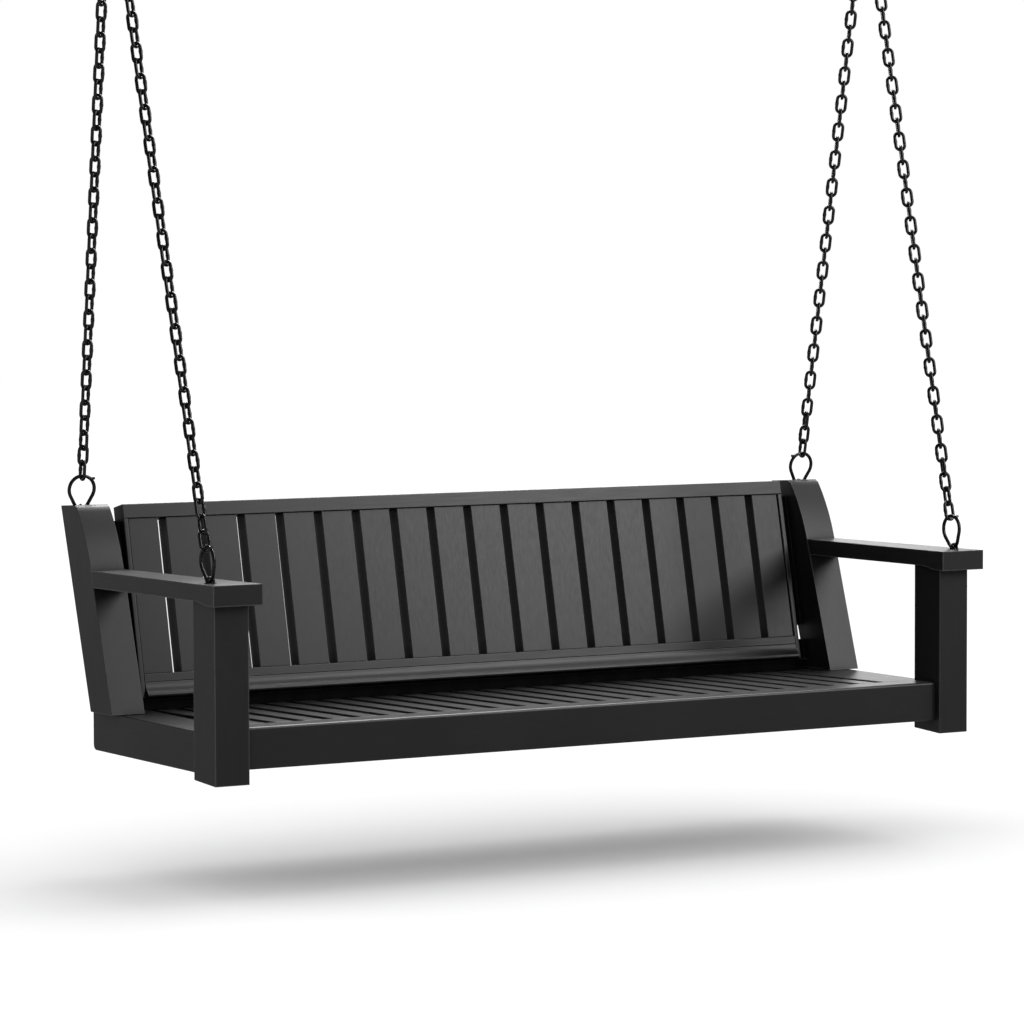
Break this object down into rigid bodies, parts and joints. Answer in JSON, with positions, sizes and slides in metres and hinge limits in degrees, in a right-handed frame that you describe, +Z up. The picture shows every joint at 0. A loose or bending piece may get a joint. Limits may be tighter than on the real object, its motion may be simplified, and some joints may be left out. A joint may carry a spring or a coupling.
{
  "type": "porch swing",
  "caption": "Slatted wooden porch swing bench with raked back and flat arms, hung from ceiling brackets by paired chains with pear rings.",
  "frame": {"origin": "middle of the four ceiling bolt holes, on the underside of the beam", "axes": "+X to the right seen from the front, +Y towards the back of the bench, +Z up"},
  "size_m": [1.7618, 0.6295, 1.7896],
  "materials": {
    "bench_frame": "satin charcoal paint",
    "seat_slats": "satin charcoal paint",
    "back_slats": "satin charcoal paint",
    "panel_frame": "satin charcoal paint",
    "chain_links": "gloss black coating",
    "rings": "gloss black coating",
    "eye_bolts": "gloss black coating",
    "hangers": "satin black powder coat",
    "fasteners": "zinc plated",
    "bushes": "turned bearing metal"
  },
  "bodies": {
    "hangers": {"left_hanger": "hangers", "right_hanger": "hangers", "pivot_bolts": "fasteners", "pivot_washers": "fasteners", "pivot_nuts": "fasteners"},
    "yokes": {"left_yoke": "hangers", "right_yoke": "hangers", "left_bush": "bushes", "right_bush": "bushes"},
    "left_chains": {"left_top_ring": "rings", "left_front_ring": "rings", "left_rear_ring": "rings", "left_front_chain": "chain_links", "left_rear_chain": "chain_links"},
    "right_chains": {"right_top_ring": "rings", "right_front_ring": "rings", "right_rear_ring": "rings", "right_front_chain": "chain_links", "right_rear_chain": "chain_links"},
    "bench": {"left_front_post": "bench_frame", "left_back_post": "bench_frame", "left_armrest": "bench_frame", "left_side_rail": "bench_frame", "right_front_post": "bench_frame", "right_back_post": "bench_frame", "right_armrest": "bench_frame", "right_side_rail": "bench_frame", "front_rail": "bench_frame", "rear_rail": "bench_frame", "front_ledger": "bench_frame", "middle_bearer": "bench_frame", "rear_ledger": "bench_frame", "seat_slats": "seat_slats", "seat_screws": "fasteners", "panel_top_rail": "panel_frame", "panel_bottom_rail": "panel_frame", "panel_lower_board": "panel_frame", "left_stile": "panel_frame", "right_stile": "panel_frame", "back_slat_1": "back_slats", "back_slat_2": "back_slats", "back_slat_3": "back_slats", "back_slat_4": "back_slats", "back_slat_5": "back_slats", "back_slat_6": "back_slats", "back_slat_7": "back_slats", "back_slat_8": "back_slats", "back_slat_9": "back_slats", "back_slat_10": "back_slats", "back_slat_11": "back_slats", "back_slat_12": "back_slats", "back_slat_13": "back_slats", "back_slat_14": "back_slats", "back_slat_15": "back_slats", "back_slat_16": "back_slats", "back_slat_17": "back_slats", "back_slat_18": "back_slats", "panel_spacers": "panel_frame", "eye_bolts": "eye_bolts", "eye_washers": "eye_bolts"}
  },
  "joints": [
    {"name": "swing", "type": "hinge", "parent": "hangers", "child": "yokes", "pos_m": [0, 0, -0.036], "axis": [1, 0, 0], "range_deg": [-32, 32]},
    {"name": "sway_left", "type": "hinge", "parent": "yokes", "child": "left_chains", "pos_m": [-0.842, 0, -0.0836], "axis": [0, 0.9817, 0.1904], "range_deg": [-5, 5]},
    {"name": "bench_level", "type": "hinge", "parent": "left_chains", "child": "bench", "pos_m": [-0.816, -0.337, -1.42786], "axis": [0, 0.9817, 0.1904], "range_deg": [-5.5, 5.5]},
    {"name": "sway_right", "type": "hinge", "parent": "yokes", "child": "right_chains", "pos_m": [0.842, 0, -0.0836], "axis": [0, 0.9817, 0.1904], "range_deg": [-5.5, 5.5]}
  ],
  "couplings": [
    {"joint": "bench_level", "follows": "sway_left", "ratio": -1.0319},
    {"joint": "sway_right", "follows": "sway_left", "ratio": 1}
  ]
}
